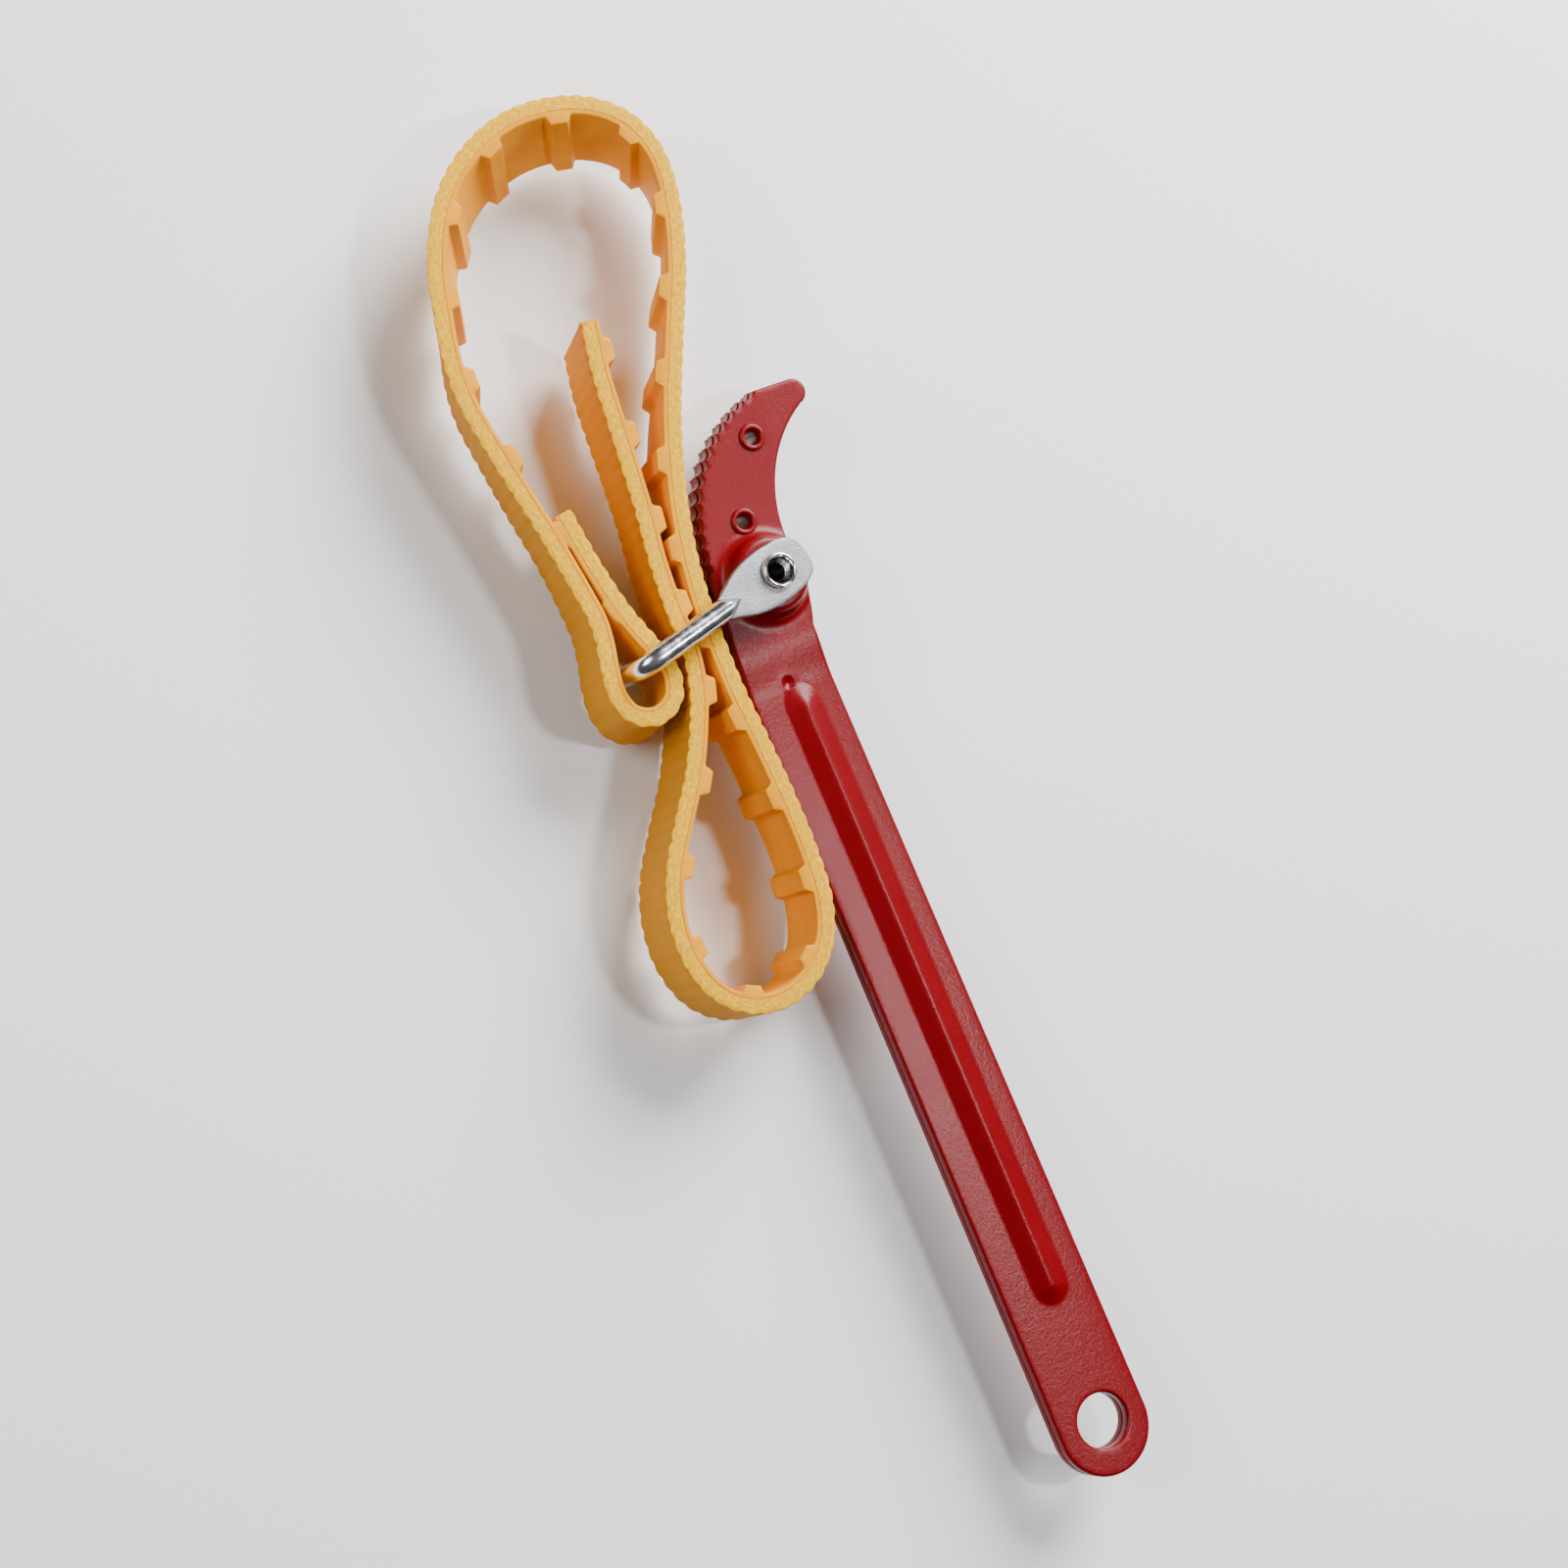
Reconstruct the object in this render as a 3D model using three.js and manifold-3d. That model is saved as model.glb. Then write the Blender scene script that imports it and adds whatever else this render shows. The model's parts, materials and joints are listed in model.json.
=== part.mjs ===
// Strap-type oil filter wrench: two riveted steel plates with a toothed horn, a rod shackle on a
// tubular pivot rivet, and a moulded belt whose folded end hangs on the shackle's bar.
//
// Millimetres. While the pieces are made, +Y runs along the handle towards the horn, +X is the side
// that the horn leans to, +Z is up, y = 0 is the level of the pivot and z = 0 is the middle of the
// tool's thickness. At the end the whole tool is moved so that its origin is the bottom centre of
// its box.

import * as THREE from "three";
import { mergeVertices } from "three/addons/utils/BufferGeometryUtils.js";
import Module from "manifold-3d";

const wasm = await Module();
wasm.setup();

// Driving dimensions
const GAP = 0.3; // clearance between pieces that touch
const SHEET = 3.2; // thickness of each stamped plate
const HANDLE_TOP = GAP / 2 + SHEET; // outer face of a plate along the handle
const JAW_THICKNESS = 3.2;
const HORN_BOTTOM = JAW_THICKNESS / 2 + GAP; // inner face of a plate beside the jaw
const HORN_TOP = HORN_BOTTOM + SHEET;
const JOGGLE_START = -30; // where a plate starts to step out from handle to horn
const JOGGLE_END = -16;

const HANG_HOLE = { y: -237.3, radius: 7.25 };
const HANDLE_END = { y: -238.8, radius: 13.2 };
const NECK_HALF_WIDTH = 12.1;
const NECK_Y = -16;

const PIVOT_X = 4.2; // the pivot stands off the handle's centre line, towards the horn's tip
const BOSS = { top: 11.3, radius: 10, baseRadius: 11.7 };
const PIVOT_HOLE_RADIUS = 4.2;

const HORN_BACK = { x: 33, y: 5.4, radius: 41.4 }; // convex edge that carries the teeth
const HORN_FRONT = { x: 51, y: 7.1, radius: 36.4 }; // concave edge
const HORN_TIP = { x: 32.8, y: 42.6, radius: 3.6 };
const TEETH = { count: 14, height: 1.2, from: 105, to: 180.5 };
const JAW_PROUD = 0.3; // the jaw's teeth stand this far beyond the plates' teeth

const RIB = { x: 1, from: -204, to: -28, height: 2, crest: 0.8, flank: 4.2 };
const HORN_RIVETS = [
  { name: "horn_rivet_upper", x: 16.4, y: 35.3 },
  { name: "horn_rivet_lower", x: 4.9, y: 15.6 },
];
const RIVET = { bore: 1.8, shank: 2.4, head: 3.6, headHeight: 0.9 };

const ROD_RADIUS = 3;
const SHACKLE_LENGTH = 46; // pivot axis to bar axis
const SHACKLE_ANGLE = 192.5; // degrees from +X to the bar, seen from +Z
const ARM_Z = 14.7; // centre of each arm of the shackle
const BEND_RADIUS = 5.5;
const EYE = { bottom: 11.7, thickness: 3, holeRadius: 4.2 };
const PIN = { bore: 3.1, shank: 3.9, head: 4.9, headHeight: 1.5 };

const STRAP_WIDTH = 21;
const STRAP_THICKNESS = 5.3; // web and back ribs, without the lugs

const degrees = THREE.MathUtils.degToRad;

const MATERIALS = {
  redPaint: material(0x9e1a20, 0.42, 0.0),
  brightSteel: material(0xc8c6c8, 0.25, 1.0),
  greySteel: material(0x8f8d8d, 0.5, 1.0),
  strap: material(0xeab135, 0.55, 0.0),
};

function material(color, roughness, metalness) {
  return new THREE.MeshStandardMaterial({ color, roughness, metalness });
}

// Solids and meshes -------------------------------------------------------------------------------

function toSolid(geometry) {
  const bare = geometry.clone();
  bare.deleteAttribute("normal");
  bare.deleteAttribute("uv");
  const merged = mergeVertices(bare, 1e-4);
  return new wasm.Manifold(
    new wasm.Mesh({
      numProp: 3,
      vertProperties: new Float32Array(merged.attributes.position.array),
      triVerts: new Uint32Array(merged.index.array),
    }),
  );
}

function toGeometry(solid) {
  const mesh = solid.getMesh();
  const geometry = new THREE.BufferGeometry();
  geometry.setAttribute("position", new THREE.BufferAttribute(mesh.vertProperties, 3));
  geometry.setIndex(new THREE.BufferAttribute(mesh.triVerts, 1));
  geometry.computeVertexNormals();
  return geometry;
}

function named(name, geometry, look) {
  const mesh = new THREE.Mesh(geometry, look);
  mesh.name = name;
  return mesh;
}

function prism(shape, bottom, top, curveSegments = 24) {
  const depth = top - bottom;
  const geometry = new THREE.ExtrudeGeometry(shape, { depth, bevelEnabled: false, curveSegments });
  return geometry.translate(0, 0, bottom);
}

// A solid of revolution about the Z axis; the profile is a closed loop of [radius, z].
function turned(profile, segments = 40) {
  const points = profile.map(([radius, z]) => new THREE.Vector2(radius, z));
  points.push(points[0].clone());
  return new THREE.LatheGeometry(points, segments).rotateX(Math.PI / 2);
}

function cylinder(radius, bottom, top, segments = 40) {
  const geometry = new THREE.CylinderGeometry(radius, radius, top - bottom, segments);
  return geometry.rotateX(Math.PI / 2).translate(0, 0, (top + bottom) / 2);
}

// The outline shared by the plates and the jaw ----------------------------------------------------

function onHornBack(angle, radius) {
  const x = HORN_BACK.x + radius * Math.cos(degrees(angle));
  const y = HORN_BACK.y + radius * Math.sin(degrees(angle));
  return [x, y];
}

// Blunt teeth along the convex edge, from the horn's tip down to the neck.
function addTeeth(shape, proud) {
  const root = HORN_BACK.radius + proud;
  const tip = root + TEETH.height;
  const pitch = (TEETH.to - TEETH.from) / TEETH.count;
  for (let i = 0; i < TEETH.count; i++) {
    const start = TEETH.from + i * pitch;
    shape.lineTo(...onHornBack(start + 0.12 * pitch, root));
    shape.lineTo(...onHornBack(start + 0.4 * pitch, tip));
    shape.lineTo(...onHornBack(start + 0.72 * pitch, tip));
  }
  shape.lineTo(...onHornBack(TEETH.to, root));
}

function addHornTip(shape) {
  shape.absarc(HORN_TIP.x, HORN_TIP.y, HORN_TIP.radius, degrees(-80), degrees(90));
}

function plateOutline() {
  const shape = new THREE.Shape();
  shape.moveTo(-HANDLE_END.radius, HANDLE_END.y);
  shape.absarc(0, HANDLE_END.y, HANDLE_END.radius, Math.PI, 2 * Math.PI);
  shape.lineTo(NECK_HALF_WIDTH, NECK_Y);
  shape.quadraticCurveTo(15.2, -8, 15.2, 1);
  shape.absarc(HORN_FRONT.x, HORN_FRONT.y, HORN_FRONT.radius, Math.PI, degrees(119), true);
  addHornTip(shape);
  addTeeth(shape, 0);
  shape.lineTo(-NECK_HALF_WIDTH, NECK_Y);
  shape.closePath();
  return shape;
}

// Plates ------------------------------------------------------------------------------------------

// The plate's section along its length, stepped out from the handle to the horn.
function joggledSheet() {
  const shape = new THREE.Shape();
  const inner = GAP / 2;
  shape.moveTo(-260, inner);
  shape.lineTo(JOGGLE_START, inner);
  shape.lineTo(JOGGLE_END, HORN_BOTTOM);
  shape.lineTo(60, HORN_BOTTOM);
  shape.lineTo(60, HORN_TOP);
  shape.lineTo(JOGGLE_END, HORN_TOP);
  shape.lineTo(JOGGLE_START, HANDLE_TOP);
  shape.lineTo(-260, HANDLE_TOP);
  shape.closePath();
  const turn = new THREE.Matrix4().makeBasis(
    new THREE.Vector3(0, 1, 0),
    new THREE.Vector3(0, 0, 1),
    new THREE.Vector3(1, 0, 0),
  );
  return prism(shape, -30, 60).applyMatrix4(turn);
}

function bossOutside() {
  return turned([
    [0, HORN_BOTTOM + 1],
    [BOSS.baseRadius, HORN_BOTTOM + 1],
    [BOSS.baseRadius, HORN_TOP],
    [BOSS.radius + 0.5, BOSS.top - 1],
    [BOSS.radius - 0.5, BOSS.top],
    [0, BOSS.top],
  ]).translate(PIVOT_X, 0, 0);
}

function bossInside() {
  return turned([
    [0, 0],
    [9.4, 0],
    [9.4, HORN_BOTTOM],
    [BOSS.radius - SHEET, BOSS.top - SHEET],
    [0, BOSS.top - SHEET],
  ]).translate(PIVOT_X, 0, 0);
}

// A long rounded ridge; its widest level is at the given height.
function ridge(level, height, flank) {
  const shape = new THREE.Shape();
  const { crest } = RIB;
  shape.absarc(RIB.x, RIB.from + flank, crest, Math.PI, 2 * Math.PI);
  shape.absarc(RIB.x, RIB.to - flank, crest, 0, Math.PI);
  shape.closePath();
  const bevel = { bevelThickness: height, bevelSize: flank, bevelSegments: 3, curveSegments: 5 };
  const geometry = new THREE.ExtrudeGeometry(shape, { depth: 0.1, ...bevel });
  return geometry.translate(0, 0, level);
}

function plateGeometry() {
  const outline = toSolid(prism(plateOutline(), -1, BOSS.top + 1));
  const rib = ridge(HANDLE_TOP, RIB.height, RIB.flank);
  const ribHollow = ridge(GAP / 2, RIB.height - 0.4, RIB.flank - 1.2);
  let plate = toSolid(joggledSheet())
    .add(toSolid(bossOutside()))
    .intersect(outline)
    .add(toSolid(rib))
    .subtract(toSolid(ribHollow))
    .subtract(toSolid(bossInside()));
  const holes = [
    cylinder(HANG_HOLE.radius, -1, 20).translate(0, HANG_HOLE.y, 0),
    cylinder(PIVOT_HOLE_RADIUS, -1, 20).translate(PIVOT_X, 0, 0),
    ...HORN_RIVETS.map(({ x, y }) => cylinder(RIVET.shank + GAP, -1, 20, 24).translate(x, y, 0)),
  ];
  for (const hole of holes) {
    plate = plate.subtract(toSolid(hole));
  }
  return toGeometry(plate);
}

function makePlates() {
  const geometry = plateGeometry();
  const front = named("front_plate", geometry, MATERIALS.redPaint);
  const back = named("back_plate", geometry, MATERIALS.redPaint);
  back.scale.z = -1;
  return [front, back];
}

// The toothed core of the horn ---------------------------------------------------------------------

function makeJaw() {
  const inset = 0.6;
  const foot = 4.6;
  const collar = 7; // leaves room for the pivot spacer
  const shape = new THREE.Shape();
  shape.moveTo(...onHornBack(TEETH.to, HORN_BACK.radius + JAW_PROUD));
  shape.lineTo(-6, foot);
  shape.lineTo(PIVOT_X - collar, foot);
  shape.absarc(PIVOT_X, 0, collar, degrees(135), degrees(45), true);
  shape.lineTo(PIVOT_X + collar, foot);
  shape.lineTo(HORN_FRONT.x - HORN_FRONT.radius - inset, foot);
  const radius = HORN_FRONT.radius + inset;
  shape.absarc(HORN_FRONT.x, HORN_FRONT.y, radius, Math.PI, degrees(119), true);
  shape.absarc(HORN_TIP.x, HORN_TIP.y, HORN_TIP.radius - inset, degrees(-80), degrees(90));
  addTeeth(shape, JAW_PROUD);
  let jaw = toSolid(prism(shape, -JAW_THICKNESS / 2, JAW_THICKNESS / 2));
  for (const { x, y } of HORN_RIVETS) {
    jaw = jaw.subtract(toSolid(cylinder(RIVET.shank + GAP, -5, 5, 24).translate(x, y, 0)));
  }
  return named("serrated_jaw", toGeometry(jaw), MATERIALS.redPaint);
}

// Rivets, spacer and pivot -------------------------------------------------------------------------

// A tube with a rolled head at both ends, each head starting at z = seat.
function tubularRivet({ bore, shank, head, headHeight }, seat, segments) {
  const top = seat + headHeight;
  const half = [
    [shank, seat],
    [head, seat],
    [head, seat + 0.5 * headHeight],
    [head - 0.3 * (head - bore), top],
    [bore + 0.3 * (head - bore), top],
    [bore, top - 0.4 * headHeight],
  ];
  const lower = half.map(([radius, z]) => [radius, -z]).reverse();
  return turned([...lower, ...half], segments);
}

function makeHornRivets() {
  return HORN_RIVETS.map(({ name, x, y }) => {
    const rivet = named(name, tubularRivet(RIVET, HORN_TOP + GAP, 24), MATERIALS.redPaint);
    rivet.position.set(x, y, 0);
    return rivet;
  });
}

function makeSpacer() {
  const end = BOSS.top - SHEET - GAP;
  const outer = 6.4;
  const profile = [
    [PIVOT_HOLE_RADIUS, -end],
    [outer, -end],
    [outer, end],
    [PIVOT_HOLE_RADIUS, end],
  ];
  const spacer = named("pivot_spacer", turned(profile), MATERIALS.greySteel);
  spacer.position.x = PIVOT_X;
  return spacer;
}

function makePin() {
  const seat = EYE.bottom + EYE.thickness + GAP;
  const pin = named("pivot_pin", tubularRivet(PIN, seat, 40), MATERIALS.brightSteel);
  pin.position.x = PIVOT_X;
  return pin;
}

// Shackle ------------------------------------------------------------------------------------------

// Centre line of the bent rod: +X runs from the pivot to the bar.
class RodLine extends THREE.Curve {
  constructor(start) {
    super();
    this.arm = SHACKLE_LENGTH - BEND_RADIUS - start;
    this.bend = (Math.PI / 2) * BEND_RADIUS;
    this.bar = 2 * (ARM_Z - BEND_RADIUS);
    this.start = start;
  }

  getPoint(t, target = new THREE.Vector3()) {
    const half = this.arm + this.bend + this.bar / 2;
    const travelled = 2 * half * t;
    const side = travelled <= half ? 1 : -1;
    const s = side > 0 ? travelled : 2 * half - travelled;
    const corner = SHACKLE_LENGTH - BEND_RADIUS;
    if (s <= this.arm) {
      return target.set(this.start + s, 0, side * ARM_Z);
    }
    if (s <= this.arm + this.bend) {
      const angle = (s - this.arm) / BEND_RADIUS;
      const z = ARM_Z - BEND_RADIUS * (1 - Math.cos(angle));
      return target.set(corner + BEND_RADIUS * Math.sin(angle), 0, side * z);
    }
    return target.set(SHACKLE_LENGTH, 0, side * (this.bar / 2 - (s - this.arm - this.bend)));
  }
}

function eyeOutline() {
  const half = [
    new THREE.Vector2(19, 2.6),
    new THREE.Vector2(15.5, 4.2),
    new THREE.Vector2(11, 6.2),
    new THREE.Vector2(5, 7.3),
    new THREE.Vector2(-1, 7.2),
    new THREE.Vector2(-6, 6.3),
    new THREE.Vector2(-9.2, 3.6),
  ];
  const other = half.map(({ x, y }) => new THREE.Vector2(x, -y)).reverse();
  const shape = new THREE.Shape();
  shape.moveTo(half[0].x, half[0].y);
  shape.splineThru(half.slice(1));
  shape.lineTo(other[0].x, other[0].y);
  shape.splineThru(other.slice(1));
  shape.closePath();
  return shape;
}

// The rod thins to a point where it is hammered into the flat eye.
function rodShoulder(side) {
  const length = 6;
  const geometry = new THREE.CylinderGeometry(ROD_RADIUS, 0.4, length, 16);
  return geometry.rotateZ(-Math.PI / 2).translate(19 - length / 2, 0, side * ARM_Z);
}

function makeShackle() {
  const section = new THREE.Shape();
  section.absarc(0, 0, ROD_RADIUS, 0, 2 * Math.PI);
  const path = new RodLine(18.9);
  const rod = new THREE.ExtrudeGeometry(section, { steps: 72, curveSegments: 8, extrudePath: path });
  let shackle = toSolid(rod);
  const eyeTop = EYE.bottom + EYE.thickness;
  for (const side of [1, -1]) {
    const bottom = side > 0 ? EYE.bottom : -eyeTop;
    const eye = prism(eyeOutline(), bottom, bottom + EYE.thickness, 5);
    shackle = shackle.add(toSolid(eye)).add(toSolid(rodShoulder(side)));
  }
  shackle = shackle.subtract(toSolid(cylinder(EYE.holeRadius, -20, 20)));
  const mesh = named("shackle", toGeometry(shackle), MATERIALS.brightSteel);
  mesh.position.x = PIVOT_X;
  mesh.rotation.z = degrees(SHACKLE_ANGLE);
  return mesh;
}

// Strap --------------------------------------------------------------------------------------------

// The belt's centre line on its upper edge, from the end that is folded back, round the bar, up the
// left of the big loop, down past the horn, round the small loop and up through the shackle again.
const STRAP_ROUTE = [
  [-42.8, 34.3], [-41.0, 20.0], [-38.2, 6.0], [-35.6, -2.0], [-33.2, -8.6],
  [-32.4, -14.4], [-34.8, -20.0], [-40.4, -22.4], [-46.0, -20.0], [-48.3, -14.4],
  [-47.8, -8.0], [-46.0, 0.0], [-45.4, 6.0], [-46.2, 14.0], [-48.8, 32.0],
  [-52.4, 52.0], [-54.8, 69.0], [-54.2, 80.0], [-51.6, 92.0], [-48.0, 104.0],
  [-42.8, 114.0], [-36.6, 121.6], [-29.4, 127.2], [-21.0, 131.2], [-12.0, 133.2],
  [-3.0, 133.0], [5.0, 131.2], [12.2, 127.4], [17.4, 122.0], [20.2, 115.0],
  [20.6, 108.0], [18.8, 98.0], [13.8, 84.0], [5.6, 67.6], [-4.0, 48.0],
  [-10.8, 30.0], [-15.0, 14.0], [-16.8, 2.0], [-17.6, -10.0], [-17.8, -24.0],
  [-17.0, -38.0], [-16.4, -54.0], [-16.6, -70.0], [-18.0, -82.0], [-21.6, -91.0],
  [-28.0, -97.6], [-37.0, -101.0], [-47.0, -99.4], [-54.4, -93.0], [-57.8, -83.0],
  [-57.2, -72.0], [-53.0, -61.0], [-45.4, -50.0], [-37.4, -39.4], [-31.4, -29.0],
  [-27.4, -20.0], [-25.2, -10.0], [-24.9, 2.0], [-24.0, 14.0], [-22.2, 26.0],
  [-20.6, 40.0], [-19.4, 52.0], [-18.0, 65.0], [-15.4, 77.6],
];
const STRAP_SAMPLES = 170;

// How far the belt's lower edge lies off its upper edge, by share of the belt's length: the belt
// stands upright round the small loop and leans over as it rises into the big one.
const LEAN = [
  { share: 0, x: 3, y: -2 },
  { share: 0.05, x: 1.2, y: -2 },
  { share: 0.11, x: 0.7, y: -2 },
  { share: 0.17, x: 3.4, y: -2 },
  { share: 0.22, x: 5, y: -4 },
  { share: 0.28, x: 6, y: -8 },
  { share: 0.34, x: 5.6, y: -8.2 },
  { share: 0.4, x: 4.4, y: -7.6 },
  { share: 0.46, x: 3, y: -4 },
  { share: 0.54, x: 1, y: -1 },
  { share: 0.6, x: 0, y: 0 },
  { share: 0.84, x: 0, y: 0 },
  { share: 0.92, x: 1.8, y: -1.6 },
  { share: 1, x: 0.4, y: -4.6 },
];

function leanAt(share) {
  const next = Math.max(1, LEAN.findIndex((key) => key.share >= share));
  const [a, b] = [LEAN[next - 1], LEAN[next]];
  const blend = THREE.MathUtils.smoothstep(share, a.share, b.share);
  return [THREE.MathUtils.lerp(a.x, b.x, blend), THREE.MathUtils.lerp(a.y, b.y, blend)];
}

// The four corners of the belt's section at a share of its length, round the section.
function strapSection(line, share) {
  const at = line.getPointAt(share);
  const along = line.getTangentAt(share);
  const [leanX, leanY] = leanAt(share);
  const x = (-along.y * STRAP_THICKNESS) / 2;
  const y = (along.x * STRAP_THICKNESS) / 2;
  const top = STRAP_WIDTH / 2;
  return [
    [at.x - x, at.y - y, top],
    [at.x + x, at.y + y, top],
    [at.x + x + leanX, at.y + y + leanY, -top],
    [at.x - x + leanX, at.y - y + leanY, -top],
  ];
}

function makeStrap() {
  const points = STRAP_ROUTE.map(([x, y]) => new THREE.Vector3(x, y, 0));
  const line = new THREE.CatmullRomCurve3(points, false, "centripetal");
  const positions = [];
  const faces = [];
  for (let i = 0; i <= STRAP_SAMPLES; i++) {
    positions.push(...strapSection(line, i / STRAP_SAMPLES).flat());
  }
  for (let i = 0; i < STRAP_SAMPLES; i++) {
    for (let side = 0; side < 4; side++) {
      const a = 4 * i + side;
      const b = 4 * i + ((side + 1) % 4);
      faces.push(a, b + 4, b, a, a + 4, b + 4);
    }
  }
  const last = 4 * STRAP_SAMPLES;
  faces.push(0, 1, 2, 0, 2, 3, last, last + 2, last + 1, last, last + 3, last + 2);
  const geometry = new THREE.BufferGeometry();
  geometry.setAttribute("position", new THREE.Float32BufferAttribute(positions, 3));
  geometry.setIndex(faces);
  geometry.computeVertexNormals();
  return named("strap", geometry, MATERIALS.strap);
}

// Assembly -----------------------------------------------------------------------------------------

const tool = new THREE.Group();
tool.add(...makePlates(), makeJaw(), ...makeHornRivets(), makeSpacer(), makePin());
tool.add(makeShackle(), makeStrap());

const box = new THREE.Box3().setFromObject(tool);
const centre = box.getCenter(new THREE.Vector3());
tool.position.set(-centre.x, -centre.y, -box.min.z);

export default tool;
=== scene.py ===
"""The looks of a strap-type oil filter wrench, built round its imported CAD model.

Shapes are worked out in the tool's own millimetres: +Y along the handle to the horn, +X to the side
that the horn leans to, +Z up, x = 0 on the handle's middle line, y = 0 level with the pivot, z = 0
the middle of the thickness. The last step of each piece turns them into metres in the model's
frame.
"""

import json
import math

import bpy
import numpy as np
from mathutils import Matrix, Vector
from mathutils.geometry import delaunay_2d_cdt


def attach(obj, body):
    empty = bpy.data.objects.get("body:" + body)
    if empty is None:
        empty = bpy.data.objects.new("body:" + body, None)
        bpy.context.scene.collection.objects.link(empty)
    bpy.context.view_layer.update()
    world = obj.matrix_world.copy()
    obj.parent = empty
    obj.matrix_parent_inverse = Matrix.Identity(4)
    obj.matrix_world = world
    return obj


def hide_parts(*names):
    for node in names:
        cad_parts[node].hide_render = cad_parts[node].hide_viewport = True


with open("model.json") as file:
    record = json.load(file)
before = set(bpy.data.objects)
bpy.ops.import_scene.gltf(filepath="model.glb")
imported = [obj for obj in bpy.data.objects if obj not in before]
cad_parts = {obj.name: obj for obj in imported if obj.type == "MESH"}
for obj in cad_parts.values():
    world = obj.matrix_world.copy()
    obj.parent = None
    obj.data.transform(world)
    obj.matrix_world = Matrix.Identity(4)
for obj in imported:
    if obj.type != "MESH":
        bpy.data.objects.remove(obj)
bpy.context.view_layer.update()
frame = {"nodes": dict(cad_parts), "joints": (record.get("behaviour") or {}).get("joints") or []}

MM = 0.001
PIVOT_X = 4.2
JOINTS = {joint["name"]: joint for joint in frame["joints"]}
ORIGIN = Vector(JOINTS["shackle_pivot"]["pos_m"]) - Vector((PIVOT_X * MM, 0, 0))

# Plates and jaw. The sizes are the CAD model's, apart from the horn's tip, which is 0.01 smaller,
# and the sections of the boss and the rib. The dimple and the crown are only here. Circles are
# (x, y, radius).
SHEET = 3.2
HANDLE_TOP = 3.35
HORN_TOP = 5.1
JOGGLE = (-30.0, -16.0)
HANG_HOLE = (0.0, -237.3, 7.25)
HANDLE_END = (0.0, -238.8, 13.2)
NECK_HALF_WIDTH = 12.1
NECK_Y = -16.0
NECK_PULL = (15.2, -8.0)
NECK_END = (15.2, 1.0)
PIVOT_HOLE = (PIVOT_X, 0.0, 4.2)
HORN_BACK = (33.0, 5.4, 41.4)
HORN_FRONT = (51.0, 7.1, 36.4)
HORN_FRONT_ANGLES = (180, 119)
HORN_TIP = (32.8, 42.6, 3.59)
HORN_TIP_ANGLES = (-80, 90)
TEETH_COUNT = 14
TEETH_HEIGHT = 1.2
TEETH_FROM = 105.0
TEETH_TO = 180.5
JAW_HALF = 1.6
JAW_PROUD = 0.3
BOSS_TOP = 11.3
BOSS_RADII = [8.0, 8.7, 9.3, 9.8, 10.2, 10.5, 10.75, 11.05, 11.5, 12.1, 12.9, 13.8]
BOSS_SHARES = [1.0, 0.99, 0.96, 0.90, 0.80, 0.64, 0.46, 0.30, 0.18, 0.09, 0.03, 0.0]
RIB_X = 1.0
RIB_FROM = -204.0
RIB_TO = -28.0
RIB_HALF = 5.2
RIB_HEIGHT = 2.0
RIB_TOP_STRETCH = 1.35  # length of the rib's upper end over half its width
RIB_LOW_SQUEEZE = 0.95  # leaves the rib's lower end a little longer than round
DIMPLE = (-0.6, -27.4)
CROWN = 0.3  # fall of a handle face from its middle to CROWN_HALF_WIDTH
CROWN_HALF_WIDTH = 12.5
CROWN_FADE = (-34.0, -18.0)

# Horn rivets
HORN_RIVETS = {"horn_rivet_upper": (16.4, 35.3), "horn_rivet_lower": (4.9, 15.6)}
HORN_RIVET_HOLES = [(x, y, 2.6) for x, y in HORN_RIVETS.values()]
HORN_RIVET_SIZES = {
    "bore": 1.75, "throat": 1.7, "shank": 2.35, "head": 3.6, "height": 0.8, "flare": 0.35,
}

# Shackle and pivot rivet
PIVOT_RIVET_SIZES = {
    "bore": 2.9, "throat": 2.3, "shank": 3.85, "head": 4.85, "height": 1.7, "flare": 0.5,
}
ROD_RADIUS = 2.99  # 0.01 under the CAD model's
SHACKLE_LENGTH = 46.0
SHACKLE_ANGLE = 192.5
ARM_Z = 14.7
BEND_RADIUS = 5.5
EYE_THICKNESS = 3.0
EYE_HOLE = 4.2

# Belt
STRAP_WIDTH = 21.0
STRAP_HALF = 2.65
LUG_PITCH = 22.75
LUG_FIRST = 141.5  # along the belt from its folded end
LUG_HEIGHT = 2.3
LUG_BASE = 7.9
LUG_CREST = 5.2
FOLD_LUGS_END = (28.0, 34.0)  # where the flattened lugs of the folded end fade out
FREE_LUGS_START = (112.0, 124.0)
FLATTENED = 0.35
BACK_INSET = 0.06  # keeps the back ribs inside the CAD model
BACK_RIB_PITCH = 4.05
BACK_RIB_HEIGHT = 0.5
# Between its edges the back's ribs keep this share of their height, about this level below its face
CALM_SHARE = 0.35
CALM_DEPTH = 0.3


# Camera, light and floor ------------------------------------------------------------------------

def make_camera():
    """Looks down on the tool from above its left side, at the photograph's angle."""
    right = Vector((0.8440, -0.3905, 0.3677))
    up = Vector((0.3677, 0.9203, 0.1334))
    back = Vector((-0.3905, 0.0226, 0.9203))
    data = bpy.data.cameras.new("camera")
    data.sensor_width = 36.0
    data.lens = 78.75
    data.clip_start = 0.01
    camera = bpy.data.objects.new("camera", data)
    turn = Matrix((right, up, back)).transposed()
    place = ORIGIN + Vector((-359.7, -31.1, 820.7)) * MM
    camera.matrix_world = Matrix.Translation(place) @ turn.to_4x4()
    bpy.context.scene.collection.objects.link(camera)
    bpy.context.scene.camera = camera


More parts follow.
